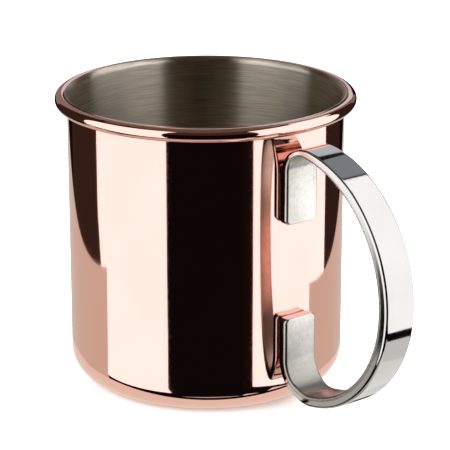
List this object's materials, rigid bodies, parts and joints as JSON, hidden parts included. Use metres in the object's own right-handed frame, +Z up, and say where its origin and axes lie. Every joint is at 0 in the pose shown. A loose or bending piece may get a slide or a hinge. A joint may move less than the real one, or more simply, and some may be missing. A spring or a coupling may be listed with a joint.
{
  "type": "mug",
  "caption": "Straight-sided mug with a mirror-polished copper outside, a rolled rim, a brushed steel lining and a flat polished steel strap for a handle.",
  "frame": {"origin": "on the cup's axis, in the plane that the standing ring rests on", "axes": "+Z up along the cup's axis, +X towards the handle, the handle strap lying in the XZ plane"},
  "size_m": [0.1357, 0.0924, 0.0902],
  "materials": {
    "polished_copper": "mirror polished",
    "brushed_steel_lining": "brushed round the axis",
    "polished_steel_strap": "polished outer face, satin inner face",
    "weld_metal": "as fused"
  },
  "bodies": {
    "root": {"copper_shell": "polished_copper", "steel_liner": "brushed_steel_lining", "handle_strap": "polished_steel_strap", "upper_spot_welds": "weld_metal", "lower_spot_welds": "weld_metal"}
  },
  "joints": []
}
